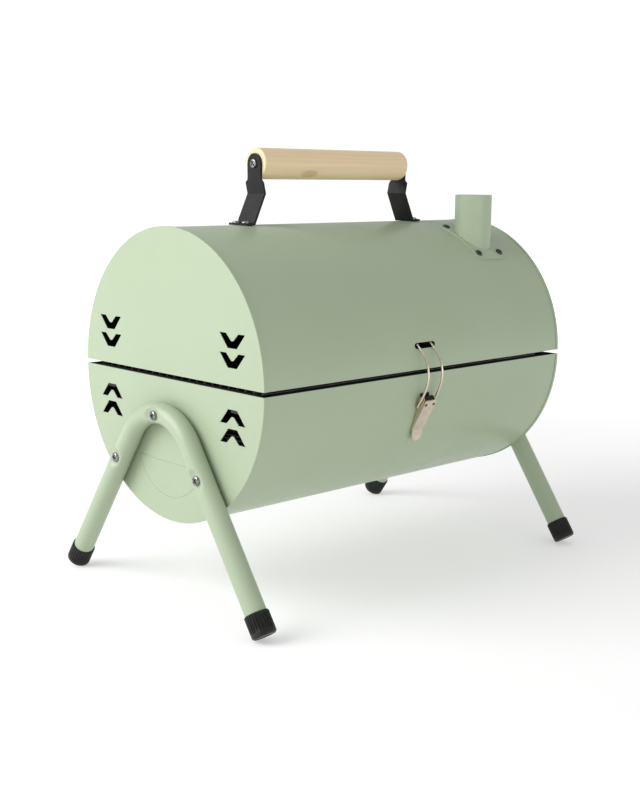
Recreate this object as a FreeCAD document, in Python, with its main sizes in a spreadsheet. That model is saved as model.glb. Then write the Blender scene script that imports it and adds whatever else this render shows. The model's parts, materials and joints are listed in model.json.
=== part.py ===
"""Portable horizontal barrel charcoal grill.

Millimetres. +X runs along the barrel towards the chimney, -Y is the front (latch side), +Z is up.
The origin is on the ground under the middle of the barrel.
"""
import FreeCAD, Part
import math
import os
import Sketcher

DIMENSIONS = {
    # barrel
    "axis_height": 222.1, "barrel_radius": 140, "barrel_length": 432.5, "gauge": 1.2, "seam_gap": 4.6,
    "lip_width": 9, "lip_length": 398, "draught_in": 11.6, "draught_rise": 9, "rim_fold": 0.8, "rim_width": 3, "end_lip_width": 8,
    # vents in the end plates
    "vent_offset": 96.8, "vent_rise": 16.8, "vent_pitch": 18, "vent_width": 36.4, "vent_height": 13.6,
    "vent_arm": 9.5, "vent_flat": 13, "vent_notch": 6.8, "vent_notch_half": 2.6, "vent_notch_radius": 3.4,
    # legs: one bent tube at each end
    "leg_radius": 10.5, "leg_bend": 55.4, "leg_splay": 34.5, "leg_apex": 34.5, "leg_length": 187.1,
    "seat_depth": 3, "seat_radius": 7.5, "leg_screw_low": 66, "leg_screw_drop": 88,
    # foot caps
    "cap_radius": 12, "cap_height": 22, "cap_floor": 4, "cap_bevel": 1.2,
    # handle
    "fittings_x": -3, "grip_radius": 15.5, "grip_half": 103, "grip_rise": 202.5, "grip_round": 1.6,
    "strap_gauge": 2.2, "strap_width": 26, "tab_width": 20, "shoulder_rise": 184, "fold_rise": 173,
    "fold_in": 2.6, "foot_out": 11.5, "toe_out": 24, "foot_screw_y": 7,
    # chimney
    "chimney_x": 150, "chimney_y": -68, "chimney_radius": 20, "chimney_top": 171.9, "saddle_width": 47,
    "saddle_depth": 71, "saddle_angle": 29.3, "saddle_gauge": 1.5, "saddle_corner": 8,
    "saddle_screw_x": 17.3, "saddle_screw_high": 18.4, "saddle_screw_low": 40.5,
    # rear hinges
    "hinge_x": 112, "hinge_width": 40, "leaf_gauge": 1.5, "leaf_drop": 24, "pin_out": 3.6, "pin_radius": 1.8,
    "knuckle_radius": 3.4, "knuckle_half": 6.9, "running_gap": 0.3, "rivet_spread": 12, "rivet_drop": 15,
    # toggle latch
    "slot_length": 30, "slot_height": 6, "slot_rise": 26, "pivot_y": -142.3, "pivot_drop": 29,
    "knuckle_front": 4, "bracket_half": 6, "bracket_gauge": 1.2, "bracket_top": 22, "bracket_bottom": 56,
    "lever_half": 8.4, "lever_gauge": 1.2, "lever_front": 5.6, "lever_back": 2.6, "lever_length": 33.5,
    "lever_tilt": 30, "lever_eye": 4.2, "lever_head": 3.5, "lever_corner": 2.5, "lever_notch": 1.7,
    "notch_x": 5.6, "notch_drop": 1.6, "tab_flare": 22, "tab_radius": 7.5, "tab_reach": 4.5,
    "latch_pin_radius": 1.5, "bail_radius": 1.25, "bail_half": 10.2, "bail_drop": 8,
    # grates
    "grate_level": 4, "grate_half_length": 199, "grate_half_width": 128, "wire_radius": 1.6,
    "frame_rod": 2.5, "rail_lift": 1, "wire_pitch": 12, "coal_level": 85, "coal_half_length": 203, "coal_rod": 2,
    "coal_wire": 1.5, "coal_pitch": 14,
    # fasteners
    "screw_head": 4.75, "screw_rise": 2.8, "screw_shank": 2.5, "small_head": 4, "small_rise": 1.9,
    "small_shank": 2, "rivet_head": 3, "rivet_rise": 1.1, "rivet_shank": 1.5, "slip": 0.1,
}

doc = FreeCAD.newDocument("barrel_grill")
sheet = doc.addObject("Spreadsheet::Sheet", "Dims")
for row, (alias, number) in enumerate(DIMENSIONS.items(), start=1):
    sheet.set("A%d" % row, alias)
    sheet.set("B%d" % row, str(number))
    sheet.setAlias("B%d" % row, alias)
doc.recompute()

pieces = []

AXIS_X = FreeCAD.Vector(1, 0, 0)
AXIS_Y = FreeCAD.Vector(0, 1, 0)
AXIS_Z = FreeCAD.Vector(0, 0, 1)
UPRIGHT = FreeCAD.Rotation()
ALONG = {"X": FreeCAD.Rotation(AXIS_Y, 90), "Y": FreeCAD.Rotation(AXIS_X, -90), "Z": UPRIGHT}

AXIS = "Dims.axis_height"
LID_Z = "(Dims.axis_height + Dims.seam_gap / 2)"
BASE_Z = "(Dims.axis_height - Dims.seam_gap / 2)"
RADIUS = "Dims.barrel_radius"
INNER = "(Dims.barrel_radius - Dims.gauge)"
END_FACE = "(Dims.barrel_length / 2)"
LEG_X = "(Dims.barrel_length / 2 + Dims.leg_radius)"


def size(text):
    """Number that a sheet expression gives."""
    found = sheet.evalExpression(str(text))
    return float(getattr(found, "Value", found))


def bind(item, **texts):
    for name, text in texts.items():
        item.setExpression(name, str(text))
    return item


def put(item, spot=("0", "0", "0"), turn=UPRIGHT):
    """Place an object: the spot follows the sheet, the turn is fixed."""
    item.Placement = FreeCAD.Placement(FreeCAD.Vector(*[size(text) for text in spot]), turn)
    for axis, text in zip("xyz", spot):
        item.setExpression("Placement.Base." + axis, str(text))
    return item


def piece(label, item):
    """Name an object as a sub-part."""
    item.Label = label
    pieces.append(item)
    return item


def rod(radius, length, start=("0", "0", "0"), along="Z", turn=None):
    item = doc.addObject("Part::Cylinder", "rod")
    bind(item, Radius=radius, Height=length)
    return put(item, start, turn or ALONG[along])


def middle_rod(radius, length, centre, along):
    """Rod whose middle, not its end, is at the centre."""
    start = list(centre)
    at = "XYZ".index(along)
    start[at] = "(%s) - (%s) / 2" % (centre[at], length)
    return rod(radius, length, start, along)


def block(centre, sizes, turn=UPRIGHT):
    item = doc.addObject("Part::Box", "block")
    bind(item, Length=sizes[0], Width=sizes[1], Height=sizes[2])
    if turn.isSame(UPRIGHT, 1e-9):
        return put(item, ["(%s) - (%s) / 2" % pair for pair in zip(centre, sizes)])
    half = FreeCAD.Vector(*[size(text) / 2 for text in sizes])
    item.Placement = FreeCAD.Placement(FreeCAD.Vector(*[size(text) for text in centre])
                                       - turn.multVec(half), turn)
    return item


def fuse(*items):
    item = doc.addObject("Part::MultiFuse", "fused")
    item.Shapes = list(items)
    return item


def cut(base, *tools):
    item = doc.addObject("Part::Cut", "cut")
    item.Base = base
    item.Tool = tools[0] if len(tools) == 1 else fuse(*tools)
    return item


def common(first, second):
    item = doc.addObject("Part::MultiCommon", "common")
    item.Shapes = [first, second]
    return item


def group(label, items):
    """Separate solids that share one node."""
    item = doc.addObject("Part::Compound", "group")
    item.Links = list(items)
    return piece(label, item)


def tube(radius, wall, length, centre, along):
    """Round tube about its middle."""
    return cut(middle_rod(radius, length, centre, along),
               middle_rod("%s - %s" % (radius, wall), "%s + 20" % length, centre, along))


# ---------------------------------------------------------------- sketches

def new_sketch(body, role, offset="0"):
    sketch = body.newObject("Sketcher::SketchObject", "sketch")
    plane = [item for item in body.Origin.OriginFeatures if item.Role == role][0]
    sketch.AttachmentSupport = [(plane, "")]
    sketch.MapMode = "FlatFace"
    sketch.setExpression("AttachmentOffset.Base.z", str(offset))
    return sketch


def arc_centre(start, end, radius):
    """Centre of the short arc that runs anticlockwise from start to end."""
    chord = end - start
    reach = math.sqrt(max(radius ** 2 - (chord.Length / 2) ** 2, 0))
    normal = FreeCAD.Vector(-chord.y, chord.x, 0).normalize()
    return (start + end) / 2 + normal * reach


def draw_outline(sketch, corners):
    """Closed outline. A corner is (x, y), or (x, y, radius) where an arc runs from it to the next one:
    anticlockwise for a positive radius, clockwise for one that starts with a minus sign."""
    spots = [FreeCAD.Vector(size(corner[0]), size(corner[1]), 0) for corner in corners]
    first = sketch.GeometryCount
    count = len(corners)
    heads = []
    for index, corner in enumerate(corners):
        start, end = spots[index], spots[(index + 1) % count]
        backwards = len(corner) == 3 and corner[2].startswith("-")
        heads.append(2 if backwards else 1)
        if len(corner) == 2:
            sketch.addGeometry(Part.LineSegment(start, end), False)
            continue
        if backwards:
            start, end = end, start
        radius = abs(size(corner[2]))
        centre = arc_centre(start, end, radius)
        angles = [math.atan2(spot.y - centre.y, spot.x - centre.x) for spot in (start, end)]
        sketch.addGeometry(Part.ArcOfCircle(Part.Circle(centre, AXIS_Z, radius), *angles), False)
    for index, corner in enumerate(corners):
        line, following = first + index, (index + 1) % count
        sketch.addConstraint(Sketcher.Constraint("Coincident", line, 3 - heads[index],
                                                 first + following, heads[following]))
        for kind, text in (("DistanceX", corner[0]), ("DistanceY", corner[1])):
            spot = sketch.addConstraint(Sketcher.Constraint(kind, line, heads[index], size(text)))
            sketch.setExpression("Constraints[%d]" % spot, str(text))
        if len(corner) == 3:
            text = corner[2].lstrip("-")
            spot = sketch.addConstraint(Sketcher.Constraint("Radius", line, size(text)))
            sketch.setExpression("Constraints[%d]" % spot, text)


def draw_circle(sketch, x, y, radius):
    line = sketch.addGeometry(Part.Circle(FreeCAD.Vector(size(x), size(y), 0), AXIS_Z, size(radius)), False)
    for kind, text in (("DistanceX", x), ("DistanceY", y)):
        spot = sketch.addConstraint(Sketcher.Constraint(kind, line, 3, size(text)))
        sketch.setExpression("Constraints[%d]" % spot, str(text))
    spot = sketch.addConstraint(Sketcher.Constraint("Radius", line, size(radius)))
    sketch.setExpression("Constraints[%d]" % spot, str(radius))


def pad(body, sketch, length, side="One side", reverse=False):
    item = body.newObject("PartDesign::Pad", "pad")
    item.Profile = sketch
    item.SideType = side
    item.Reversed = reverse
    item.setExpression("Length", str(length))
    return item


def pocket(body, sketch, length):
    """Cut on both sides of the sketch, and make sure that something was cut."""
    doc.recompute()
    before = body.Shape.Volume
    item = body.newObject("PartDesign::Pocket", "pocket")
    item.Profile = sketch
    item.SideType = "Symmetric"
    item.setExpression("Length", str(length))
    doc.recompute()
    if body.Shape.Volume > before - 0.01:
        raise ValueError("a pocket in %s cut nothing" % body.Label)


# ---------------------------------------------------------------- fasteners

def radial(x, angle, distance, centre):
    """Spot and turn on a circle about the barrel: angle from straight up, positive to the front."""
    spot = (x, "-sin(%s) * (%s)" % (angle, distance), "%s + cos(%s) * (%s)" % (centre, angle, distance))
    return spot, FreeCAD.Rotation(AXIS_X, size(angle))


def screw(spot, turn, head, rise, shank, length, recess=True):
    """Screw or rivet along its own +Z: the head's seat is at the spot, the shank runs down from it."""
    top = doc.addObject("Part::Cone", "head")
    bind(top, Radius1=head, Radius2="%s * 0.72" % head, Height=rise)
    if recess:
        arm = ("%s * 1.1" % head, "%s * 0.24" % head, "%s * 1.2" % rise)
        bars = [block(("0", "0", rise), sizes) for sizes in (arm, (arm[1], arm[0], arm[2]))]
        top = cut(top, *bars)
    item = fuse(top, rod(shank, length, ("0", "0", "-(%s)" % length)))
    return put(item, spot, turn)


def nut(spot, turn, width, bore, rise):
    """Hexagon nut that hangs below its spot."""
    body = doc.addObject("Part::Prism", "nut")
    body.Polygon = 6
    bind(body, Circumradius=width, Height=rise)
    put(body, ("0", "0", "-(%s)" % rise))
    return put(cut(body, rod(bore, "%s * 3" % rise, ("0", "0", "-(%s) * 2" % rise))), spot, turn)


def radial_hole(x, angle, centre, radius):
    spot, turn = radial(x, angle, "%s - 20" % RADIUS, centre)
    return rod(radius, "40", spot, turn=turn)


# ---------------------------------------------------------------- barrel

def half_shell(label, upper, holes):
    """Rolled half barrel, its rim folded inwards; the lower one's rear rim turns up behind the seam."""
    centre, way = (LID_Z, "1") if upper else (BASE_Z, "-1")
    length = "(Dims.barrel_length - 2 * Dims.gauge)"
    ring = tube(RADIUS, "Dims.gauge", length, ("0", "0", centre), "X")
    half = block(("0", "0", "%s + %s * 100" % (centre, way)), ("600", "400", "200"))
    lips = []
    for side in ("1", "-1"):
        spot = "%s * (%s - Dims.gauge / 2 - Dims.lip_width / 2)" % (side, RADIUS)
        lips.append(block(("0", spot, "%s + %s * Dims.gauge / 2" % (centre, way)),
                          ("Dims.lip_length", "Dims.lip_width", "Dims.gauge")))
    if not upper:
        spot = "(%s - Dims.draught_in)" % RADIUS
        lips += [block(("0", spot, "%s + (Dims.draught_rise - Dims.gauge) / 2" % centre),
                       ("Dims.lip_length", "Dims.gauge", "Dims.draught_rise + Dims.gauge")),
                 block(("0", "%s + 1" % spot, "%s - Dims.gauge / 2" % centre),
                       ("Dims.lip_length", "Dims.gauge + 2", "Dims.gauge"))]
    return piece(label, cut(fuse(common(ring, half), *lips), *holes))


def vent_corners(side, level):
    """Chevron that points at the seam, with a rounded notch."""
    def spot(across, down):
        return ("%s * Dims.vent_offset + (%s)" % (side, across), "%s - (%s)" % (level, down))
    half = "Dims.vent_width / 2"
    arm = "(Dims.vent_width / 2 - Dims.vent_arm)"
    notch = "Dims.vent_notch - 1"
    return [spot("-" + half, "0"), spot("-Dims.vent_flat / 2", "Dims.vent_height"),
            spot("Dims.vent_flat / 2", "Dims.vent_height"), spot(half, "0"), spot(arm, "0"),
            spot("Dims.vent_notch_half", notch) + ("-Dims.vent_notch_radius",),
            spot("-Dims.vent_notch_half", notch), spot("-" + arm, "0")]


def end_plate(label, upper, right):
    """Pressed half-round end with a folded rim, a seam flange and four vents."""
    body = doc.addObject("PartDesign::Body", label)
    outer = "(%s + Dims.rim_fold)" % RADIUS
    face = new_sketch(body, "YZ_Plane")
    draw_outline(face, [("-" + outer, "0"), (outer, "0", outer), ("0", outer, outer)])
    pad(body, face, "Dims.gauge")
    fold = new_sketch(body, "YZ_Plane")
    draw_outline(fold, [("-" + outer, "0"), ("-" + RADIUS, "0", "-" + RADIUS), ("0", RADIUS, "-" + RADIUS),
                        (RADIUS, "0"), (outer, "0", outer), ("0", outer, outer)])
    pad(body, fold, "Dims.rim_width - Dims.gauge", reverse=True)
    flange = new_sketch(body, "YZ_Plane")
    half = "(%s - 14)" % RADIUS
    draw_outline(flange, [("-" + half, "0"), (half, "0"), (half, "Dims.gauge"), ("-" + half, "Dims.gauge")])
    pad(body, flange, "Dims.end_lip_width", reverse=True)
    vents = new_sketch(body, "YZ_Plane")
    for side in ("1", "-1"):
        for step in ("1", "0"):
            level = "Dims.vent_rise + Dims.vent_height + %s * Dims.vent_pitch" % step
            draw_outline(vents, vent_corners(side, level))
    pocket(body, vents, "20")
    if not upper:
        holes = new_sketch(body, "YZ_Plane")
        lift = "- Dims.seam_gap / 2"
        draw_circle(holes, "0", "Dims.leg_apex + 1.5 " + lift, "Dims.screw_shank + Dims.slip")
        for side in ("1", "-1"):
            draw_circle(holes, "%s * Dims.leg_screw_low" % side, "Dims.leg_screw_drop " + lift,
                        "Dims.screw_shank + Dims.slip")
        pocket(body, holes, "20")
    turns = {(True, True): UPRIGHT, (True, False): FreeCAD.Rotation(AXIS_Z, 180),
             (False, True): FreeCAD.Rotation(AXIS_X, 180), (False, False): FreeCAD.Rotation(AXIS_Y, 180)}
    way = "1" if right else "-1"
    put(body, ("%s * (Dims.barrel_length / 2 - Dims.gauge)" % way, "0", LID_Z if upper else BASE_Z),
        turns[(upper, right)])
    return piece(label, body)


# ---------------------------------------------------------------- legs

def leg_outer(radius, side):
    """Solid of the bent leg at a radius: a top bend and two straight runs down to the feet."""
    middle = "%s * %s" % (side, LEG_X)
    centre_z = "(%s - Dims.leg_apex - Dims.leg_bend)" % AXIS
    splay = size("Dims.leg_splay")
    bend = doc.addObject("Part::Torus", "bend")
    bend.Angle1, bend.Angle2, bend.Angle3 = -180, 180, 180 - 2 * splay
    bind(bend, Radius1="Dims.leg_bend", Radius2=radius)
    # the torus lies in its own XY plane: stand it up across the barrel, starting at the rear tangent point
    put(bend, (middle, "0", centre_z), FreeCAD.Rotation(AXIS_X, splay).multiply(
        FreeCAD.Rotation(AXIS_Z, 90).multiply(FreeCAD.Rotation(AXIS_X, 90))))
    runs = []
    for way in (1, -1):
        start = (middle, "%d * Dims.leg_bend * cos(Dims.leg_splay)" % way,
                 "%s + Dims.leg_bend * sin(Dims.leg_splay)" % centre_z)
        runs.append(rod(radius, "Dims.leg_length", start, turn=FreeCAD.Rotation(AXIS_X, 180 + way * splay)))
    return fuse(bend, *runs)


LEG_SCREWS = (("0", "(%s - Dims.leg_apex - 1.5)" % AXIS),
              ("-Dims.leg_screw_low", "(%s - Dims.leg_screw_drop)" % AXIS),
              ("Dims.leg_screw_low", "(%s - Dims.leg_screw_drop)" % AXIS))
SEAT_X = "(%s + Dims.leg_radius - Dims.seat_depth)" % LEG_X


def leg(label, side):
    """Bent tube with its wall pressed flat under each of the three screws."""
    plugs, dimples, bores = [], [], []
    for y, z in LEG_SCREWS:
        centre = ("%s * %s" % (side, LEG_X), y, z)
        plugs.append(middle_rod("Dims.seat_radius + Dims.gauge", "40", centre, "X"))
        dimples.append(middle_rod("Dims.seat_radius", "40", ("%s * (%s + 20)" % (side, SEAT_X), y, z), "X"))
        bores.append(middle_rod("Dims.screw_shank + Dims.slip", "80", centre, "X"))
    hollow = cut(leg_outer("Dims.leg_radius - Dims.gauge", side), *plugs)
    tools = [hollow] + dimples + bores
    blank = leg_outer("Dims.leg_radius", side)
    for tool in tools:
        blank = cut(blank, tool)
    return piece(label, blank)


def leg_fasteners(name, side, turn_out):
    reach = "(%s - %s + 2 * Dims.gauge + 7)" % (SEAT_X, END_FACE)
    screws = [screw(("%s * %s" % (side, SEAT_X), y, z), turn_out, "Dims.screw_head", "Dims.screw_rise",
                    "Dims.screw_shank", reach) for y, z in LEG_SCREWS]
    group("leg_screws_" + name, screws)
    nuts = [nut(("%s * (%s - Dims.gauge)" % (side, END_FACE), y, z), turn_out, "4.6", "Dims.screw_shank", "4")
            for y, z in LEG_SCREWS]
    group("leg_nuts_" + name, nuts)


def foot_cap(label, side, way):
    """Bevelled cup on the end of a leg, trimmed level where it stands on the ground."""
    outline = [("0", "0"), ("Dims.cap_radius - Dims.cap_bevel", "0"), ("Dims.cap_radius", "Dims.cap_bevel"),
               ("Dims.cap_radius", "Dims.cap_height"), ("Dims.leg_radius", "Dims.cap_height"),
               ("Dims.leg_radius", "Dims.cap_floor"), ("0", "Dims.cap_floor")]
    body = doc.addObject("PartDesign::Body", "cap_body")
    sketch = new_sketch(body, "XZ_Plane")
    draw_outline(sketch, outline)
    turned = body.newObject("PartDesign::Revolution", "turned")
    turned.Profile = sketch
    turned.ReferenceAxis = (sketch, ["V_Axis"])
    turned.Angle = 360
    centre_z = "(%s - Dims.leg_apex - Dims.leg_bend)" % AXIS
    reach = "(Dims.leg_length + Dims.cap_floor)"
    splay = size("Dims.leg_splay")
    spot = ("%s * %s" % (side, LEG_X),
            "%d * (Dims.leg_bend * cos(Dims.leg_splay) + sin(Dims.leg_splay) * %s)" % (way, reach),
            "%s + Dims.leg_bend * sin(Dims.leg_splay) - cos(Dims.leg_splay) * %s" % (centre_z, reach))
    put(body, spot, FreeCAD.Rotation(AXIS_X, way * splay))
    ground = block(("%s * %s" % (side, LEG_X), "%d * 150" % way, "-10"), ("60", "80", "20"))
    return piece(label, cut(body, ground))


# ---------------------------------------------------------------- handle

def handle_bracket(label, way):
    """Folded strap: screwed to the grip's end, folded in under it and out again to a foot on the lid."""
    body = doc.addObject("PartDesign::Body", label)
    edge, wall = "Dims.grip_half", "Dims.strap_gauge"
    crest = "(Dims.seam_gap / 2 + %s)" % RADIUS
    fold = "(%s - Dims.fold_in)" % edge
    foot, toe = "(%s + Dims.foot_out)" % edge, "(%s + Dims.toe_out)" % edge
    top = "(Dims.grip_rise + Dims.tab_width / 2)"
    side = new_sketch(body, "XZ_Plane")
    draw_outline(side, [(edge, top), (edge, "Dims.shoulder_rise"), (fold, "Dims.fold_rise"), (foot, crest),
                        (toe, crest), (toe, "%s + %s" % (crest, wall)),
                        ("%s + %s * 0.8" % (foot, wall), "%s + %s" % (crest, wall)),
                        ("%s + %s * 1.1" % (fold, wall), "Dims.fold_rise"),
                        ("%s + %s" % (edge, wall), "Dims.shoulder_rise"), ("%s + %s" % (edge, wall), top)])
    pad(body, side, "Dims.strap_width", "Symmetric")
    front = new_sketch(body, "YZ_Plane")
    half, tab = "(Dims.strap_width / 2)", "(Dims.tab_width / 2)"
    draw_outline(front, [("-20", "Dims.shoulder_rise"), ("-" + half, "Dims.shoulder_rise"),
                         ("-" + tab, "Dims.shoulder_rise + 3"), ("-" + tab, "Dims.grip_rise", "-" + tab),
                         ("0", top, "-" + tab), (tab, "Dims.grip_rise"), (tab, "Dims.shoulder_rise + 3"),
                         (half, "Dims.shoulder_rise"), ("20", "Dims.shoulder_rise"), ("20", "%s + 4" % top),
                         ("-20", "%s + 4" % top)])
    pocket(body, front, "400")
    hole = new_sketch(body, "YZ_Plane")
    draw_circle(hole, "0", "Dims.grip_rise", "Dims.small_shank + Dims.slip")
    pocket(body, hole, "400")
    holes = new_sketch(body, "XY_Plane", crest)
    for row in ("1", "-1"):
        draw_circle(holes, "(%s + %s) / 2 + 1" % (foot, toe), "%s * Dims.foot_screw_y" % row,
                    "Dims.small_shank + Dims.slip")
    pocket(body, holes, "12")
    turn = UPRIGHT if way == "1" else FreeCAD.Rotation(AXIS_Z, 180)
    put(body, ("Dims.fittings_x", "0", AXIS), turn)
    return piece(label, body)


FOOT_SCREW_OUT = "(Dims.grip_half + (Dims.foot_out + Dims.toe_out) / 2 + 1)"


def handle():
    body = doc.addObject("PartDesign::Body", "grip_body")
    section = new_sketch(body, "XZ_Plane")
    half, radius, edge = "Dims.grip_half", "Dims.grip_radius", "Dims.grip_round"
    draw_outline(section, [("-" + half, "0"), (half, "0"), (half, "%s - %s" % (radius, edge), edge),
                           ("%s - %s" % (half, edge), radius), ("-%s + %s" % (half, edge), radius, edge),
                           ("-" + half, "%s - %s" % (radius, edge))])
    turned = body.newObject("PartDesign::Revolution", "turned")
    turned.Profile = section
    turned.ReferenceAxis = (section, ["H_Axis"])
    turned.Angle = 360
    centre = ("Dims.fittings_x", "0", "%s + Dims.grip_rise" % AXIS)
    put(body, centre)
    bores = [middle_rod("Dims.small_shank", "52", ("Dims.fittings_x + %s * Dims.grip_half" % way,) + centre[1:],
                        "X") for way in ("1", "-1")]
    piece("handle_grip", cut(body, *bores))
    handle_bracket("right_handle_bracket", "1")
    handle_bracket("left_handle_bracket", "-1")
    turns = {"1": ALONG["X"], "-1": FreeCAD.Rotation(AXIS_Y, -90)}
    group("grip_screws", [screw(("Dims.fittings_x + %s * (Dims.grip_half + Dims.strap_gauge)" % way,)
                                + centre[1:], turns[way], "Dims.small_head + 0.6", "2.4", "Dims.small_shank",
                                "26") for way in ("1", "-1")])
    spots = [("Dims.fittings_x + %s * %s" % (way, FOOT_SCREW_OUT), "%s * Dims.foot_screw_y" % row)
             for way in ("1", "-1") for row in ("1", "-1")]
    seat = "%s + %s + Dims.strap_gauge" % (LID_Z, RADIUS)
    group("handle_foot_screws", [screw(spot + (seat,), UPRIGHT, "Dims.small_head + 0.3", "Dims.small_rise",
                                       "Dims.small_shank", "9") for spot in spots])
    group("handle_foot_nuts", [nut(spot + ("%s + %s - 0.5" % (LID_Z, INNER),), UPRIGHT, "3.8",
                                   "Dims.small_shank", "3") for spot in spots])
    return [rod("Dims.small_shank + Dims.slip", "40", spot + ("%s + %s - 20" % (LID_Z, RADIUS),))
            for spot in spots]


# ---------------------------------------------------------------- chimney

SADDLE_SCREWS = [("Dims.chimney_x + %s * Dims.saddle_screw_x" % way, angle)
                 for way in ("1", "-1") for angle in ("Dims.saddle_screw_high", "Dims.saddle_screw_low")]


def chimney():
    """Open pipe on a saddle plate that is screwed to the lid."""
    spot = ("Dims.chimney_x", "Dims.chimney_y")
    top = "(%s + Dims.chimney_top)" % AXIS
    foot = "(%s + 100)" % LID_Z
    length = "(%s - %s)" % (top, foot)
    pipe = cut(rod("Dims.chimney_radius", length, spot + (foot,)),
               rod("Dims.chimney_radius - Dims.gauge", "%s + 10" % length, spot + (foot,)))
    piece("chimney_tube", cut(pipe, middle_rod(RADIUS, "500", ("0", "0", LID_Z), "X")))

    body = doc.addObject("PartDesign::Body", "saddle_blank")
    sketch = new_sketch(body, "XY_Plane")
    across, down, corner = "(Dims.saddle_width / 2)", "(Dims.saddle_depth / 2)", "Dims.saddle_corner"
    inner_x, inner_y = "(%s - %s)" % (across, corner), "(%s - %s)" % (down, corner)
    draw_outline(sketch, [("-" + inner_x, "-" + down), (inner_x, "-" + down, corner), (across, "-" + inner_y),
                          (across, inner_y, corner), (inner_x, down), ("-" + inner_x, down, corner),
                          ("-" + across, inner_y), ("-" + across, "-" + inner_y, corner)])
    pad(body, sketch, "80")
    seat, turn = radial("Dims.chimney_x", "Dims.saddle_angle", "%s - 40" % RADIUS, LID_Z)
    put(body, seat, turn)
    sheet_ring = tube("(%s + Dims.saddle_gauge)" % RADIUS, "Dims.saddle_gauge", "700", ("0", "0", LID_Z), "X")
    holes = [radial_hole(x, angle, LID_Z, "Dims.small_shank + Dims.slip") for x, angle in SADDLE_SCREWS]
    bore = rod("Dims.chimney_radius", length, spot + (foot,))
    piece("chimney_flange", cut(common(sheet_ring, body), bore, *holes))

    screws, nuts = [], []
    for x, angle in SADDLE_SCREWS:
        outside, turn = radial(x, angle, "%s + Dims.saddle_gauge" % RADIUS, LID_Z)
        screws.append(screw(outside, turn, "Dims.small_head", "Dims.small_rise", "Dims.small_shank", "8"))
        inside, turn = radial(x, angle, "%s - 0.1" % INNER, LID_Z)
        nuts.append(nut(inside, turn, "3.6", "Dims.small_shank", "3"))
    group("chimney_screws", screws)
    group("chimney_nuts", nuts)
    flue = rod("Dims.chimney_radius - Dims.gauge", length, spot + (foot,))
    return [flue] + [radial_hole(x, angle, LID_Z, "Dims.small_shank + Dims.slip") for x, angle in SADDLE_SCREWS]


# ---------------------------------------------------------------- hinges

PIN_Y = "(%s + Dims.pin_out)" % RADIUS


def hinge_leaf(label, x, upper):
    """Curved leaf on the rear of the barrel with its share of the knuckles."""
    centre, way = (LID_Z, "1") if upper else (BASE_Z, "-1")
    ring = tube("(%s + Dims.leaf_gauge)" % RADIUS, "Dims.leaf_gauge", "600", ("0", "0", centre), "X")
    tall = "(Dims.leaf_drop + 1)"
    window = block((x, "140", "%s + %s * (%s / 2 - 1)" % (centre, way, tall)), ("Dims.hinge_width", "80", tall))
    leaf = common(ring, window)
    third = "(Dims.hinge_width / 2 - Dims.knuckle_half - Dims.running_gap)"
    inner = [("%s" % x, "2 * Dims.knuckle_half")]
    outer = [("%s + %s * (Dims.hinge_width / 2 - %s / 2)" % (x, side, third), third) for side in ("1", "-1")]
    own, other = (inner, outer) if upper else (outer, inner)
    knuckles = [middle_rod("Dims.knuckle_radius", length, (spot, PIN_Y, AXIS), "X") for spot, length in own]
    gaps = [middle_rod("Dims.knuckle_radius + Dims.running_gap", "%s + 2 * Dims.running_gap" % length,
                       (spot, PIN_Y, AXIS), "X") for spot, length in other]
    bore = middle_rod("Dims.pin_radius + 0.05", "100", (x, PIN_Y, AXIS), "X")
    rivets = [radial_hole(rivet_x, angle, centre, "Dims.rivet_shank") for rivet_x, angle in leaf_rivets(x, upper)]
    return piece(label, cut(cut(fuse(leaf, *knuckles), *gaps), bore, *rivets))


def leaf_rivets(x, upper):
    turn = "asin(Dims.rivet_drop / %s)" % RADIUS
    angle = "(-90 deg + %s)" % turn if upper else "(-90 deg - %s)" % turn
    return [("%s + %s * Dims.rivet_spread" % (x, side), angle) for side in ("1", "-1")]


def hinges():
    spots = {"left": "-Dims.hinge_x", "right": "Dims.hinge_x"}
    for name, x in spots.items():
        hinge_leaf("hinge_base_leaf_" + name, x, False)
        hinge_leaf("hinge_lid_leaf_" + name, x, True)
        piece("hinge_pin_" + name, middle_rod("Dims.pin_radius", "Dims.hinge_width + 2", (x, PIN_Y, AXIS), "X"))
    holes = {}
    for upper, centre, label in ((False, BASE_Z, "hinge_base_rivets"), (True, LID_Z, "hinge_lid_rivets")):
        spread = [rivet for x in spots.values() for rivet in leaf_rivets(x, upper)]
        rivets = []
        for x, angle in spread:
            seat, turn = radial(x, angle, "%s + Dims.leaf_gauge" % RADIUS, centre)
            rivets.append(screw(seat, turn, "Dims.rivet_head", "Dims.rivet_rise", "Dims.rivet_shank", "4", False))
        group(label, rivets)
        holes[upper] = [radial_hole(x, angle, centre, "Dims.rivet_shank") for x, angle in spread]
    return holes


# ---------------------------------------------------------------- toggle latch

PIVOT = ("Dims.fittings_x", "Dims.pivot_y", "(%s - Dims.pivot_drop)" % AXIS)
LATCH_RIVETS = [("Dims.fittings_x", "(90 deg + asin((%d - Dims.seam_gap / 2) / %s))" % (drop, RADIUS))
                for drop in (39, 49)]


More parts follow.
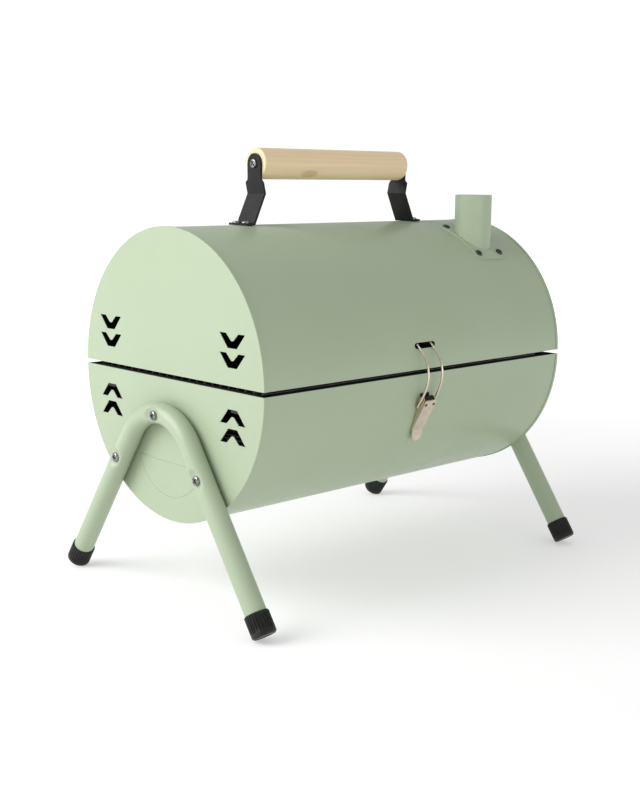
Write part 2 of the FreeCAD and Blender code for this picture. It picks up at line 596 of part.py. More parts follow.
def latch_bracket():
    """Narrow curved plate on the base with a solid knuckle that carries the lever's pin."""
    ring = tube("(%s + Dims.bracket_gauge)" % RADIUS, "Dims.bracket_gauge", "400", ("0", "0", BASE_Z), "X")
    drop = "(Dims.bracket_top + Dims.bracket_bottom)"
    window = block(("Dims.fittings_x", "-130", "%s - %s / 2" % (AXIS, drop)),
                   ("2 * Dims.bracket_half", "60", "Dims.bracket_bottom - Dims.bracket_top"))
    knuckle = middle_rod("Dims.knuckle_front", "2 * Dims.bracket_half", PIVOT, "X")
    neck = block(("Dims.fittings_x", "(Dims.pivot_y - %s) / 2" % RADIUS, PIVOT[2]),
                 ("2 * Dims.bracket_half", "%s + Dims.pivot_y + 7" % RADIUS, "2 * Dims.knuckle_front - 0.6"))
    inside = middle_rod(RADIUS, "300", ("0", "0", BASE_Z), "X")
    solid = cut(fuse(common(ring, window), knuckle, neck), inside)
    holes = [radial_hole(x, angle, BASE_Z, "Dims.rivet_shank") for x, angle in LATCH_RIVETS]
    bore = middle_rod("Dims.latch_pin_radius", "60", PIVOT, "X")
    piece("latch_bracket", cut(solid, bore, *holes))
    piece("latch_pin", middle_rod("Dims.latch_pin_radius", "2 * Dims.lever_half + 1", PIVOT, "X"))
    rivets = []
    for x, angle in LATCH_RIVETS:
        seat, turn = radial(x, angle, "%s + Dims.bracket_gauge" % RADIUS, BASE_Z)
        rivets.append(screw(seat, turn, "Dims.rivet_head", "0.9", "Dims.rivet_shank", "4", False))
    group("latch_rivets", rivets)
    return [radial_hole(x, angle, BASE_Z, "Dims.rivet_shank") for x, angle in LATCH_RIVETS]


def latch_lever():
    """Folded channel in its own frame: the pivot at the origin, the length down -Z, the web to the front."""
    half, wall = "Dims.lever_half", "Dims.lever_gauge"
    depth = "(Dims.lever_front + Dims.lever_back)"
    middle = "(Dims.lever_back - Dims.lever_front) / 2"
    drop = "-Dims.lever_length / 2"
    walls = [block(("%s * (%s - %s / 2)" % (side, half, wall), middle, drop), (wall, depth, "Dims.lever_length"))
             for side in ("1", "-1")]
    eyes = [middle_rod("Dims.lever_eye", wall, ("%s * (%s - %s / 2)" % (side, half, wall), "0", "0"), "X")
            for side in ("1", "-1")]
    face = "(-Dims.lever_front + %s / 2)" % wall
    corner = "(%s - Dims.lever_corner)" % half
    web = [block(("0", face, "(Dims.lever_head - Dims.lever_corner - Dims.lever_length) / 2"),
                 ("2 * %s" % half, wall, "Dims.lever_length + Dims.lever_head - Dims.lever_corner")),
           block(("0", face, "Dims.lever_head / 2"), ("2 * %s" % corner, wall, "Dims.lever_head"))]
    web += [middle_rod("Dims.lever_corner", wall,
                       ("%s * %s" % (side, corner), face, "Dims.lever_head - Dims.lever_corner"), "Y")
            for side in ("1", "-1")]
    flare = FreeCAD.Rotation(AXIS_X, -size("Dims.tab_flare"))
    bend = FreeCAD.Vector(0, size(face), -size("Dims.lever_length"))
    reach = FreeCAD.Vector(0, 0, -size("Dims.tab_reach"))
    tab = block([str(value) for value in bend + flare.multVec(reach / 2)],
                ("2 * Dims.tab_radius", wall, "Dims.tab_reach + 1"), flare)
    disc = middle_rod("Dims.tab_radius", wall, ("0", "0", "0"), "Y")
    for axis in "xyz":
        disc.setExpression("Placement.Base." + axis, None)
    disc.Placement = FreeCAD.Placement(bend + flare.multVec(reach), flare).multiply(disc.Placement)
    blank = fuse(tab, disc, *(web + walls + eyes))
    bores = [middle_rod("Dims.latch_pin_radius + 0.05", "40", ("0", "0", "0"), "X"),
             middle_rod("Dims.bail_radius + 0.05", "40", ("0", "0", "-Dims.bail_drop"), "X")]
    bores += [middle_rod("Dims.lever_notch", wall, ("%s * Dims.notch_x" % side, face, "-Dims.notch_drop"), "Y")
              for side in ("1", "-1")]
    lever = put(cut(blank, *bores), PIVOT, FreeCAD.Rotation(AXIS_X, size("Dims.lever_tilt")))
    clearance = middle_rod("%s + 0.5" % RADIUS, "300", ("0", "0", BASE_Z), "X")
    piece("latch_lever", cut(lever, clearance))


BAIL_SPOTS = (("Dims.pivot_y + sin(Dims.lever_tilt) * Dims.bail_drop",
               "(%s - Dims.pivot_drop - cos(Dims.lever_tilt) * Dims.bail_drop)" % AXIS),
              ("-147.2", "(%s - 24.5)" % AXIS), ("-151.6", "(%s - 12)" % AXIS), ("-152.8", "(%s - 2)" % AXIS),
              ("-150.2", "(%s + 11)" % AXIS), ("-140.6", "(%s + Dims.slot_rise)" % AXIS))


def bent_rod(radius, spots):
    """Rods end to end with a ball at each bend."""
    runs = []
    for start, end in zip(spots, spots[1:]):
        across = FreeCAD.Vector(*[size(text) for text in end]) - FreeCAD.Vector(*[size(text) for text in start])
        length = "sqrt(%s)" % " + ".join("((%s) - (%s)) ^ 2" % pair for pair in zip(end, start))
        runs.append(rod(radius, length, start, turn=FreeCAD.Rotation(AXIS_Z, across)))
    for spot in spots[1:-1]:
        ball = doc.addObject("Part::Sphere", "ball")
        bind(ball, Radius=radius)
        runs.append(put(ball, spot))
    return fuse(*runs)


def latch_bail():
    """Wire loop: its two ends turn in the lever's walls, its top bar lies at the slot in the lid."""
    def at(x, spot):
        return ("Dims.fittings_x + (%s)" % x,) + spot
    side, stub = "Dims.bail_half", "Dims.lever_half - Dims.lever_gauge - 0.5"
    path = [at("-(%s)" % stub, BAIL_SPOTS[0])] + [at("-" + side, spot) for spot in BAIL_SPOTS]
    path += [at(side, spot) for spot in reversed(BAIL_SPOTS)] + [at(stub, BAIL_SPOTS[0])]
    piece("latch_bail", bent_rod("Dims.bail_radius", path))


def latch_slot():
    """Long slot in the lid's front for the bail."""
    reach = "(Dims.slot_length / 2 - Dims.slot_height / 2)"
    level = "%s + Dims.slot_rise" % AXIS
    return [block(("Dims.fittings_x", "-130", level), ("2 * " + reach, "40", "Dims.slot_height"))] + [
        middle_rod("Dims.slot_height / 2", "40", ("Dims.fittings_x + %s * %s" % (way, reach), "-130", level), "Y")
        for way in ("1", "-1")]


# ---------------------------------------------------------------- grates

def spread(pitch, limit):
    """Even places from -limit to limit."""
    steps = int(size(limit) / size(pitch))
    return ["%d * %s" % (step, pitch) for step in range(-steps, steps + 1)]


def cooking_grate():
    level = "(%s - Dims.grate_level)" % AXIS
    under = "(%s - Dims.wire_radius - Dims.frame_rod + 0.4)" % level
    length, width = "2 * Dims.grate_half_length", "2 * Dims.grate_half_width"
    rails = "(%s + Dims.rail_lift)" % under
    rods = [middle_rod("Dims.frame_rod", length + " + 6", ("0", "%s * Dims.grate_half_width" % way, rails), "X")
            for way in ("1", "-1")]
    rods += [middle_rod("Dims.frame_rod", width + " + 6", ("%s * Dims.grate_half_length" % way, "0", under), "Y")
             for way in ("1", "0.33", "-0.33", "-1")]
    rods += [middle_rod("Dims.wire_radius", "%s + 3" % length, ("0", y, level), "X")
             for y in spread("Dims.wire_pitch", "Dims.grate_half_width - 4")]
    piece("cooking_grate", fuse(*rods))
    shelf = "(%s - Dims.frame_rod)" % under
    face = "(%s - Dims.gauge)" % END_FACE
    rests = []
    for side in ("1", "-1"):
        for way in ("1", "-1"):
            y = "%s * 100" % way
            tab = block(("%s * (%s - 11)" % (side, face), y, "%s - 0.75" % shelf), ("22", "14", "1.5"))
            back = block(("%s * (%s - 0.75)" % (side, face), y, "%s - 6" % shelf), ("1.5", "14", "12"))
            rests.append(fuse(tab, back))
    group("grate_rests", rests)


def charcoal_grate():
    level = "(%s - Dims.coal_level)" % AXIS
    wall = "(%s - Dims.coal_rod - 0.05)" % INNER
    half = "sqrt(%s ^ 2 - (Dims.coal_level - Dims.seam_gap / 2) ^ 2)" % wall
    rods = [middle_rod("Dims.coal_rod", "2 * Dims.coal_half_length", ("0", "%s * %s" % (way, half), level), "X")
            for way in ("1", "-1")]
    rods += [middle_rod("Dims.coal_rod", "2 * %s" % half, ("%s * Dims.coal_half_length" % way, "0", level), "Y")
             for way in ("1", "-1")]
    rods += [middle_rod("Dims.coal_rod", "2 * Dims.coal_half_length", ("0", "%s * 40" % way, level), "X")
             for way in ("1", "-1")]
    raised = "%s + Dims.coal_rod + Dims.coal_wire - 0.4" % level
    rods += [middle_rod("Dims.coal_wire", "2 * %s" % half, (x, "0", raised), "Y")
             for x in spread("Dims.coal_pitch", "Dims.coal_half_length - 5")]
    piece("charcoal_grate", fuse(*rods))


# ---------------------------------------------------------------- assembly

hinge_holes = hinges()
lid_holes = handle() + chimney() + latch_slot() + hinge_holes[True]
half_shell("lid_shell", True, lid_holes)
half_shell("base_shell", False, latch_bracket() + hinge_holes[False])
for name, right in (("left", False), ("right", True)):
    end_plate("lid_%s_end" % name, True, right)
    end_plate("base_%s_end" % name, False, right)
for name, side, turn_out in (("left", "-1", FreeCAD.Rotation(AXIS_Y, -90)), ("right", "1", ALONG["X"])):
    leg("%s_leg" % name, side)
    leg_fasteners(name, side, turn_out)
    for place, way in (("front", -1), ("rear", 1)):
        foot_cap("foot_cap_%s_%s" % (name, place), side, way)
latch_lever()
latch_bail()
cooking_grate()
charcoal_grate()
doc.recompute()

for item in doc.Objects:
    if "Invalid" in item.State or "Error" in item.State:
        raise ValueError("%s failed: %s" % (item.Label, item.State))
for item in pieces:
    if item.Shape.isNull() or not item.Shape.isValid():
        raise ValueError("%s has no valid shape" % item.Label)

os.makedirs("parts", exist_ok=True)
for item in pieces:
    item.Shape.exportStep("parts/%s.step" % item.Label)
    box = item.Shape.BoundBox
    print("%-28s solids %2d  volume %9.0f  x %7.1f %7.1f  y %7.1f %7.1f  z %6.1f %6.1f" % (
        item.Label, len(item.Shape.Solids), item.Shape.Volume, box.XMin, box.XMax, box.YMin, box.YMax,
        box.ZMin, box.ZMax))
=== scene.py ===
"""Looks of the portable barrel grill: materials, detailed pieces, light, floor and camera."""
import json
import math
import bpy
from mathutils import Matrix, Vector


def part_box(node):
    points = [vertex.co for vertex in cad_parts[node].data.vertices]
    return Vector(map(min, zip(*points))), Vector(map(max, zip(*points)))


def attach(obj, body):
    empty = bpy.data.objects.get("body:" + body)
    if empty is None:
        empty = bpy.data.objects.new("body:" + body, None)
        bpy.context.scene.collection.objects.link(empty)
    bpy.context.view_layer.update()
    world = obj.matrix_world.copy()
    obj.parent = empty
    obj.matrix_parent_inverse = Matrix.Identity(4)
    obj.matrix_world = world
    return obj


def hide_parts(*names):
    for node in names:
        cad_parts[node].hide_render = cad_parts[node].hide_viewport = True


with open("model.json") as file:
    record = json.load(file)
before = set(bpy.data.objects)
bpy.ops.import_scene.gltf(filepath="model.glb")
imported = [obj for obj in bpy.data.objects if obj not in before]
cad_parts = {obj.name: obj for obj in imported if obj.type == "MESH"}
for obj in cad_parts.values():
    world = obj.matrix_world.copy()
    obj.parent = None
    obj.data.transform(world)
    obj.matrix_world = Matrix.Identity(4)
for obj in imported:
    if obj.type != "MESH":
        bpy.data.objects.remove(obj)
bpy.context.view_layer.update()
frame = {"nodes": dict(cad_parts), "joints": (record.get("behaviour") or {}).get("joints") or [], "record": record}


# ------------------------------------------------------------------ places read from the frame

def middle(node):
    """Centre of a CAD node's box."""
    low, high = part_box(node)
    return (Vector(low) + Vector(high)) / 2


lid_low, lid_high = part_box("lid_shell")
SHELL_RADIUS = (lid_high[1] - lid_low[1]) / 2
LID_Z = lid_low[2]
BASE_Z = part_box("base_right_end")[1][2]
AXIS_Z = (LID_Z + BASE_Z) / 2
END_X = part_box("lid_right_end")[1][0]
GRIP_LOW, GRIP_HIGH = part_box("handle_grip")
GRIP = middle("handle_grip")

# Sizes of the real object that the frame's boxes don't give, in metres and radians.
GAUGE = 0.0012
LEG_SPLAY = math.radians(34.5)
LEG_BEND = 0.0554
LEG_APEX_DROP = 0.0345
LEG_LENGTH = 0.1871
SEAT_DEPTH = 0.003
CAP_FLOOR = 0.004
CAP_HEIGHT = 0.022
CAP_RADIUS = 0.012
LEG_SCREW_HEAD = 0.00475
FOOT_SCREW_HEAD = 0.0043
CHIMNEY_SCREW_HEAD = 0.004
SMALL_RISE = 0.0019
PRESSED_RADIUS = 0.0525
PRESSED_CENTRE_DROP = 0.066
PRESSED_CHORD_DROP = 0.084
BAIL_WIRE = 0.00125
CHIMNEY_SCREW_ROWS = (18.4, 40.5)  # degrees forward of the top of the lid


# ------------------------------------------------------------------ colours, and the wood's pith and knot

SAGE_DARK = (0.342, 0.415, 0.285)
SAGE_LIGHT = (0.357, 0.430, 0.300)
SAGE_SPECK = (0.42, 0.51, 0.37)
# Painted shade: near-black, matt colour for the inner faces, so the inside of the barrel looks dark through the
# vents and seam.
INSIDE_SHADE = (0.020, 0.021, 0.016)
INSIDE_SHADE_ROUGHNESS = 0.8
BEECH_DARK = (0.725, 0.570, 0.362)
BEECH_MID = (0.745, 0.590, 0.378)
BEECH_LIGHT = (0.765, 0.612, 0.398)
BEECH_PORE = (0.66, 0.500, 0.300)
BEECH_KNOT = (0.50, 0.350, 0.170)
PITH_Y, PITH_Z = 0.045, AXIS_Z + 0.165
KNOT = (GRIP.x - 0.041, -0.0120, GRIP.z - 0.0098)


# ------------------------------------------------------------------ material helpers

class Nodes:
    """A material's node tree with short ways to add and join nodes."""

    def __init__(self, name):
        self.material = bpy.data.materials.new(name)
        self.material.use_nodes = True
        self.tree = self.material.node_tree
        self.shader = self.tree.nodes["Principled BSDF"]
        self.place = self.add("ShaderNodeTexCoord").outputs["Object"]

    def add(self, kind, **settings):
        node = self.tree.nodes.new(kind)
        for name, value in settings.items():
            if name in node.inputs:
                node.inputs[name].default_value = value
            else:
                setattr(node, name, value)
        return node

    def join(self, source, target):
        self.tree.links.new(source, target)

    def scaled(self, stretch):
        """Object coordinates stretched along each axis."""
        node = self.add("ShaderNodeMapping")
        node.inputs["Scale"].default_value = stretch
        self.join(self.place, node.inputs["Vector"])
        return node.outputs["Vector"]

    def noise(self, scale, detail=3.0, roughness=0.5, stretch=(1, 1, 1)):
        """Noise between 0 and 1; scale counts blotches per metre."""
        node = self.add("ShaderNodeTexNoise", Scale=scale, Detail=detail, Roughness=roughness)
        self.join(self.scaled(stretch), node.inputs["Vector"])
        return node.outputs["Fac"]

    def ramp(self, source, stops):
        """Colours along a factor, from (place, colour) stops."""
        node = self.add("ShaderNodeValToRGB")
        node.color_ramp.elements[0].position = stops[0][0]
        node.color_ramp.elements[1].position = stops[-1][0]
        for place, _ in stops[1:-1]:
            node.color_ramp.elements.new(place)
        for element, (_, colour) in zip(node.color_ramp.elements, stops):
            element.color = tuple(colour) + (1,)
        self.join(source, node.inputs["Fac"])
        return node.outputs["Color"]

    def between(self, source, low, high, from_low=0.3, from_high=0.7):
        """Maps from_low..from_high onto low..high, held at both ends."""
        node = self.add("ShaderNodeMapRange")
        for index, value in enumerate((from_low, from_high, low, high), start=1):
            node.inputs[index].default_value = value
        self.join(source, node.inputs[0])
        return node.outputs[0]

    def math(self, operation, *values):
        """A maths node; each value is a number or a socket."""
        node = self.add("ShaderNodeMath", operation=operation)
        for socket, value in zip(node.inputs, values):
            if isinstance(value, bpy.types.NodeSocket):
                self.join(value, socket)
            else:
                socket.default_value = value
        return node.outputs[0]

    def away(self, source, place):
        """Distance along one axis from a place."""
        return self.math("ABSOLUTE", self.math("SUBTRACT", source, place))

    def radius(self, first, second):
        """Distance from the axis where both coordinates are zero."""
        squares = [self.math("MULTIPLY", value, value) for value in (first, second)]
        return self.math("SQRT", self.math("ADD", *squares))

    def mixed(self, factor, first, second):
        """The second colour over the first, by a factor from 0 to 1."""
        node = self.add("ShaderNodeMix", data_type="RGBA")
        for socket, value in ((node.inputs[0], factor), (node.inputs[6], first), (node.inputs[7], second)):
            if isinstance(value, bpy.types.NodeSocket):
                self.join(value, socket)
            elif isinstance(value, (int, float)):
                socket.default_value = value
            else:
                socket.default_value = tuple(value) + (1,)
        return node.outputs[2]

    def bump(self, *layers):
        """Bump from (height, distance in metres, strength) layers, one over the other."""
        below = None
        for height, distance, strength in layers:
            node = self.add("ShaderNodeBump", Strength=strength, Distance=distance)
            self.join(height, node.inputs["Height"])
            if below:
                self.join(below, node.inputs["Normal"])
            below = node.outputs["Normal"]
        self.join(below, self.shader.inputs["Normal"])

    def finish(self, colour, roughness, **constants):
        """Joins colour and roughness, sets the shader's other values and gives the material."""
        self.join(colour, self.shader.inputs["Base Color"])
        self.join(roughness, self.shader.inputs["Roughness"])
        for name, value in constants.items():
            self.shader.inputs[name.replace("_", " ")].default_value = value
        return self.material


def inside_barrel(nodes, x, y, z):
    """1 on the inner faces of the shells and end plates, where the painted shade goes, 0 elsewhere."""
    rise = nodes.math("SUBTRACT", nodes.away(z, AXIS_Z), LID_Z - AXIS_Z)
    in_shell = nodes.math("LESS_THAN", nodes.radius(y, rise), SHELL_RADIUS - GAUGE / 2)
    between_ends = nodes.math("LESS_THAN", nodes.math("ABSOLUTE", x), END_X - GAUGE / 2)
    return nodes.math("MULTIPLY", in_shell, between_ends)


def pressed_line(nodes, x, y, z):
    """1 along a fine D pressed into each end plate's outer face, below the leg's bend."""
    chord_z = AXIS_Z - PRESSED_CHORD_DROP
    line_start, line_end = 0.0002, 0.0011
    reach = nodes.radius(y, nodes.math("SUBTRACT", z, AXIS_Z - PRESSED_CENTRE_DROP))
    arc = nodes.between(nodes.away(reach, PRESSED_RADIUS), 1.0, 0.0, line_start, line_end)
    chord = nodes.between(nodes.away(z, chord_z), 1.0, 0.0, line_start, line_end)
    arc = nodes.math("MULTIPLY", nodes.math("LESS_THAN", z, chord_z), arc)
    chord = nodes.math("MULTIPLY", nodes.math("LESS_THAN", reach, PRESSED_RADIUS), chord)
    face = nodes.math("MULTIPLY", nodes.math("GREATER_THAN", nodes.math("ABSOLUTE", x), END_X - GAUGE / 2),
                      nodes.math("LESS_THAN", nodes.math("ABSOLUTE", x), END_X + line_start))
    return nodes.math("MULTIPLY", nodes.math("MAXIMUM", arc, chord), face)


def paint():
    """Satin sage powder coat with a fine orange peel; painted shade, near black, on the inner faces of the barrel;
    a pressed D on the ends.
    """
    nodes = Nodes("sage_powder_coat")
    spot = nodes.add("ShaderNodeSeparateXYZ")
    nodes.join(nodes.place, spot.inputs[0])
    shade_inside = inside_barrel(nodes, *spot.outputs)
    grain = nodes.noise(900.0, 2.0)
    colour = nodes.ramp(nodes.noise(9.0, 4.0), [(0.3, SAGE_DARK), (0.7, SAGE_LIGHT)])
    colour = nodes.mixed(nodes.between(grain, 0.0, 0.16, 0.45, 0.75), colour, SAGE_SPECK)
    # Painted shade: the inner faces of the shells and end plates turn near black.
    colour = nodes.mixed(shade_inside, colour, INSIDE_SHADE)
    rough = nodes.between(nodes.noise(35.0, 3.0), 0.31, 0.41)
    rough = nodes.math("MAXIMUM", rough, nodes.math("MULTIPLY", shade_inside, INSIDE_SHADE_ROUGHNESS))
    nodes.bump((nodes.noise(420.0, 2.0), 0.0004, 0.10), (nodes.noise(1500.0, 1.0), 0.0001, 0.12),
               (pressed_line(nodes, *spot.outputs), 0.0006, 0.7))
    return nodes.finish(colour, rough, IOR=1.45)


def beech():
    """Sanded beech, cut from one block: rings along X, fine pores, soft clouds and one small knot."""
    nodes = Nodes("beech")
    rings = nodes.add("ShaderNodeTexWave", wave_type="RINGS", rings_direction="X", Scale=70.0,
                      Distortion=3.2, Detail=3.0)
    rings.inputs["Detail Scale"].default_value = 1.3
    shift = nodes.add("ShaderNodeMapping")
    shift.inputs["Location"].default_value = (0.0, PITH_Y, -PITH_Z)
    shift.inputs["Scale"].default_value = (0.07, 1.0, 1.0)
    nodes.join(nodes.place, shift.inputs["Vector"])
    nodes.join(shift.outputs["Vector"], rings.inputs["Vector"])
    colour = nodes.ramp(rings.outputs["Fac"], [(0.0, BEECH_DARK), (0.55, BEECH_MID), (1.0, BEECH_LIGHT)])
    fibre = nodes.noise(600.0, 3.0, 0.6, (0.04, 1.0, 1.0))
    colour = nodes.mixed(nodes.between(fibre, 0.0, 0.45, 0.52, 0.72), colour, BEECH_PORE)
    cloud = nodes.noise(22.0, 3.0, 0.5, (0.35, 1.0, 1.0))
    colour = nodes.mixed(nodes.between(cloud, 0.0, 0.35, 0.45, 0.7), colour, BEECH_MID)
    knot = nodes.add("ShaderNodeTexGradient", gradient_type="SPHERICAL")
    spot = nodes.add("ShaderNodeMapping")
    stretch = (75.0, 130.0, 210.0)
    spot.inputs["Scale"].default_value = stretch
    spot.inputs["Location"].default_value = tuple(-place * scale for place, scale in zip(KNOT, stretch))
    nodes.join(nodes.place, spot.inputs["Vector"])
    nodes.join(spot.outputs["Vector"], knot.inputs["Vector"])
    colour = nodes.mixed(nodes.between(knot.outputs["Fac"], 0.0, 0.65, 0.0, 0.35), colour, BEECH_KNOT)
    nodes.bump((fibre, 0.0002, 0.25), (rings.outputs["Fac"], 0.0002, 0.12))
    return nodes.finish(colour, nodes.between(fibre, 0.50, 0.66), IOR=1.4)


def metal(name, dark, light, rough, stretch=(1, 1, 1)):
    """Plated or plain metal with a fine grain, drawn out along its stretch, and cloudy variation."""
    nodes = Nodes(name)
    lines = nodes.noise(900.0, 3.0, 0.6, stretch)
    colour = nodes.ramp(nodes.noise(60.0, 3.0), [(0.3, dark), (0.7, light)])
    nodes.bump((lines, 0.00012, 0.22))
    return nodes.finish(colour, nodes.between(lines, rough - 0.06, rough + 0.08), Metallic=1.0)


def black_coat(name, tint, rough):
    """Black satin coating with a fine tooth and slightly worn, greyer clouds."""
    nodes = Nodes(name)
    worn = tuple(value * 1.7 + 0.004 for value in tint)
    colour = nodes.ramp(nodes.noise(70.0, 4.0), [(0.35, tint), (0.75, worn)])
    nodes.bump((nodes.noise(1100.0, 2.0), 0.00015, 0.25))
    return nodes.finish(colour, nodes.between(nodes.noise(300.0, 2.0), rough - 0.05, rough + 0.1),
                        Specular_IOR_Level=0.22)


def floor_material():
    """White floor, pale and matt, with painted light: it glows softly near the grill, which keeps the cast shadow
    pale, and more strongly further out, in place of lamp light where the lamps fall off.
    """
    nodes = Nodes("studio_floor")
    colour = nodes.ramp(nodes.noise(1.2, 2.0), [(0.3, (0.56, 0.56, 0.56)), (0.7, (0.58, 0.58, 0.58))])
    rough = nodes.between(nodes.noise(3.0, 2.0), 0.75, 0.85)
    reach = nodes.add("ShaderNodeVectorMath", operation="LENGTH")
    nodes.join(nodes.place, reach.inputs[0])
    # Painted light: emission strength 0.43 within 0.6 m of the origin, rising to 1.0 at 2.6 m.
    glow = nodes.between(reach.outputs["Value"], 0.43, 1.0, 0.6, 2.6)
    nodes.join(glow, nodes.shader.inputs["Emission Strength"])
    return nodes.finish(colour, rough, Emission_Color=(1, 1, 1, 1))


MATERIALS = {
    "green_paint": paint(),
    "beech": beech(),
    "black_steel": black_coat("black_coated_steel", (0.004, 0.004, 0.0037), 0.42),
    "cap_plastic": black_coat("cap_plastic", (0.013, 0.013, 0.012), 0.34),
    "dark_screw": metal("blackened_screw", (0.05, 0.05, 0.05), (0.10, 0.10, 0.10), 0.35),
    "zinc_screw": metal("zinc_screw", (0.20, 0.20, 0.20), (0.32, 0.315, 0.31), 0.26),
    "zinc_nut": metal("zinc_nut", (0.42, 0.42, 0.42), (0.55, 0.55, 0.55), 0.35),
    "steel_pin": metal("steel_pin", (0.38, 0.38, 0.38), (0.50, 0.50, 0.50), 0.32, (0.05, 1, 1)),
    "nickel": metal("satin_nickel", (0.60, 0.52, 0.42), (0.73, 0.64, 0.52), 0.28, (1, 1, 0.08)),
    "grate_wire": metal("plated_wire", (0.30, 0.30, 0.30), (0.44, 0.44, 0.44), 0.36),
}


# ------------------------------------------------------------------ mesh helpers

def build(name, points, faces, slot, body, node):
    """A smooth mesh piece in its slot's material, on its body, that stands for one CAD node."""
    mesh = bpy.data.meshes.new(name)
    mesh.from_pydata([tuple(point) for point in points], [], faces)
    mesh.validate()
    mesh.update()
    mesh.shade_smooth()
    mesh.set_sharp_from_angle(angle=math.radians(38))
    mesh.materials.append(MATERIALS[slot])
    piece = bpy.data.objects.new(name, mesh)
    bpy.context.scene.collection.objects.link(piece)
    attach(piece, body)
    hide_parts(node)


def grid_faces(rows, columns, start=0):
    """Quads between rows of points, from point number start; each row closes on itself."""
    faces = []
    for row in range(rows - 1):
        for column in range(columns):
            following = (column + 1) % columns
            low, high = start + row * columns, start + (row + 1) * columns
            faces.append((low + column, low + following, high + following, high + column))
    return faces


def ring(columns, height, radius_at):
    """Points round Z at one height; radius_at gives the radius at each angle."""
    points = []
    for step in range(columns):
        angle = 2 * math.pi * step / columns
        radius = radius_at(angle)
        points.append(Vector((radius * math.cos(angle), radius * math.sin(angle), height)))
    return points


def smooth_step(value):
    """0 to 1 with soft ends."""
    value = min(max(value, 0.0), 1.0)
    return value * value * (3 - 2 * value)


# ------------------------------------------------------------------ legs and caps

LEG_RADIUS = (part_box("right_leg")[1][0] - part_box("right_leg")[0][0]) / 2
BEND_Z = AXIS_Z - LEG_APEX_DROP - LEG_BEND
TANGENT_Y = LEG_BEND * math.cos(LEG_SPLAY)
TANGENT_Z = BEND_Z + LEG_BEND * math.sin(LEG_SPLAY)


def leg_path():
    """Centre line of a leg in the YZ plane: (y, z) points from the front foot to the rear foot."""
    run_steps, bend_steps = 90, 64
    run = []
    for step in range(run_steps):
        along = LEG_LENGTH * (1 - step / run_steps)
        run.append((-TANGENT_Y - math.sin(LEG_SPLAY) * along, TANGENT_Z - math.cos(LEG_SPLAY) * along))
    bend = []
    for step in range(bend_steps + 1):
        angle = math.pi - LEG_SPLAY - (math.pi - 2 * LEG_SPLAY) * step / bend_steps
        bend.append((LEG_BEND * math.cos(angle), BEND_Z + LEG_BEND * math.sin(angle)))
    return run + bend + [(-y, z) for y, z in reversed(run)]


def leg_screw_spots(name):
    """(y, z) of a leg's three screws: one at the bend, one on each run."""
    low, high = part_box("leg_screws_" + name)
    low_z = low[2] + LEG_SCREW_HEAD
    return [(0.0, high[2] - LEG_SCREW_HEAD), (low[1] + LEG_SCREW_HEAD, low_z),
            (high[1] - LEG_SCREW_HEAD, low_z)]


def leg(name, side):
    """Bent tube, pressed flat round each screw, with a soft crease where the wall gives way."""
    x_middle = side * (END_X + LEG_RADIUS)
    seats = leg_screw_spots(name)
    path = leg_path()
    around, flat_radius, crease = 56, 0.0064, 0.0066
    points = []
    for index, (y, z) in enumerate(path):
        before, after = path[max(index - 1, 0)], path[min(index + 1, len(path) - 1)]
        along = Vector((0, after[0] - before[0], after[1] - before[1])).normalized()
        across = Vector((0, along.z, -along.y))
        for step in range(around):
            angle = 2 * math.pi * step / around
            point = Vector((0, y, z)) + across * (LEG_RADIUS * math.sin(angle))
            height = LEG_RADIUS * math.cos(angle)
            for seat_y, seat_z in seats:
                reach = math.hypot(point.y - seat_y, point.z - seat_z)
                give = SEAT_DEPTH * (1 - 1.02 * smooth_step((reach - flat_radius) / crease))
                height = min(height, LEG_RADIUS - give)
            points.append((x_middle + side * height, point.y, point.z))
    last = len(points)
    faces = grid_faces(len(path), around)
    faces += [tuple(range(around - 1, -1, -1)), tuple(range(last - around, last))]
    if side > 0:
        faces = [tuple(reversed(face)) for face in faces]
    build(name + "_leg_tube", points, faces, "green_paint", "base", name + "_leg")


def cap_radius(angle, height):
    """Radius of the cap: a bevelled collar at the bottom, ribs along the leg above it."""
    ribs, depth, collar, bevel, bevel_slope = 26, 0.0009, 0.0042, 0.0017, 0.85
    if height < bevel:
        return CAP_RADIUS - (bevel - height) * bevel_slope
    if height < collar:
        return CAP_RADIUS
    wave = smooth_step(0.5 + 1.3 * math.cos(ribs * angle))
    fade = smooth_step((height - collar) / 0.0012)
    return CAP_RADIUS - depth * fade * (1 - wave)


def foot_cap(name, side, way):
    """Ribbed cap in line with its leg's run, cut level where it stands on the floor."""
    columns, lip, fit = 26 * 12, 0.0009, 0.00005
    bevel_and_collar = [0.0, 0.0006, 0.0012, 0.0017, 0.0022, 0.0041]
    ribbed = [0.0043, 0.0048, 0.0054, 0.010, 0.016, 0.0212]
    points = ring(columns, 0.0004, lambda angle: 0.72 * CAP_RADIUS) + ring(
        columns, 0.0, lambda angle: 0.80 * CAP_RADIUS)
    for height in bevel_and_collar + ribbed:
        points += ring(columns, height, lambda angle: cap_radius(angle, height))
    for height in (0.0217, CAP_HEIGHT):
        points += ring(columns, height, lambda angle: min(cap_radius(angle, height), CAP_RADIUS - lip))
    for height in (CAP_HEIGHT, CAP_HEIGHT - 0.001):
        points += ring(columns, height, lambda angle: LEG_RADIUS + fit)
    reach = LEG_LENGTH + CAP_FLOOR
    foot = Vector((side * (END_X + LEG_RADIUS), way * (TANGENT_Y + math.sin(LEG_SPLAY) * reach),
                   TANGENT_Z - math.cos(LEG_SPLAY) * reach))
    turn = Matrix.Rotation(way * LEG_SPLAY, 3, "X")
    placed = [foot + turn @ point for point in points]
    for point in placed:
        point.z = max(point.z, 0.0)
    faces = grid_faces(len(points) // columns, columns) + [tuple(range(columns - 1, -1, -1))]
    build("ribbed_" + name, placed, faces, "cap_plastic", "base", name)


# ------------------------------------------------------------------ screws

